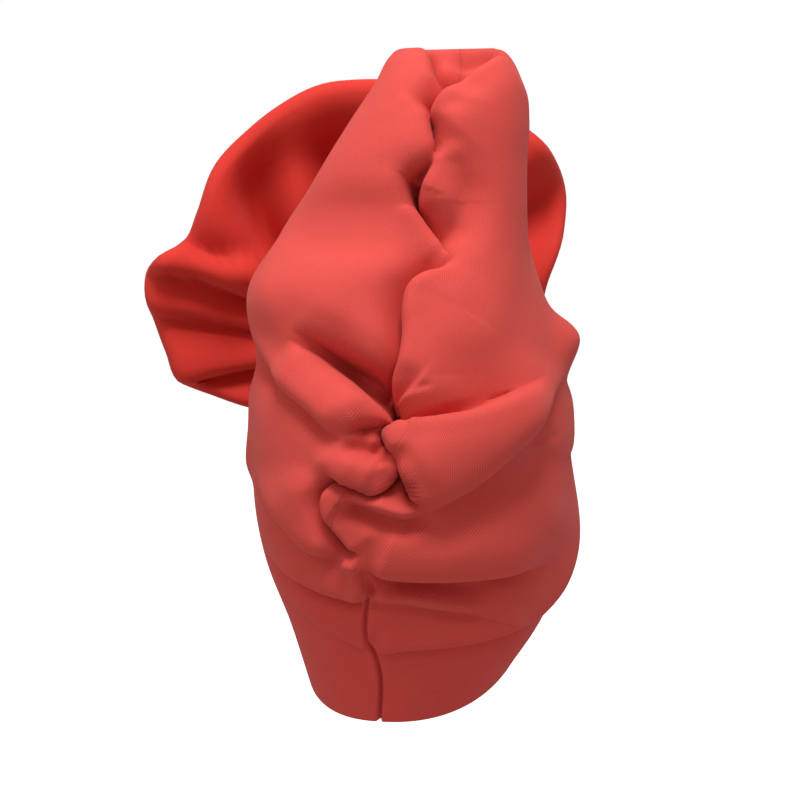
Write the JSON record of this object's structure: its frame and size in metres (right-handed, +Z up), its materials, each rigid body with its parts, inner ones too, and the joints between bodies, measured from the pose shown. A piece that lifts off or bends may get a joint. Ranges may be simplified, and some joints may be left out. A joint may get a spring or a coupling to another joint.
{
  "type": "tied gele head tie",
  "caption": "Pre-tied gele head wrap of coral red knit cloth: a fitted band, crossing gathered halves rising to a tall hollow loop, and a pleated fan at the front.",
  "frame": {"origin": "on the head's axis, level with the lowest point of the nape hem, where the wrap sits on a head", "axes": "+Z up, +Y the way the wearer faces, so the back of the head faces -Y; +X towards the wearer's right as seen from behind"},
  "size_m": [0.2653, 0.2586, 0.3625],
  "materials": {
    "band_knit": "matte",
    "drape_knit": "matte",
    "fan_knit": "matte"
  },
  "bodies": {
    "root": {"head_band": "band_knit", "left_drape": "drape_knit", "right_drape": "drape_knit", "front_fan": "fan_knit"}
  },
  "joints": []
}
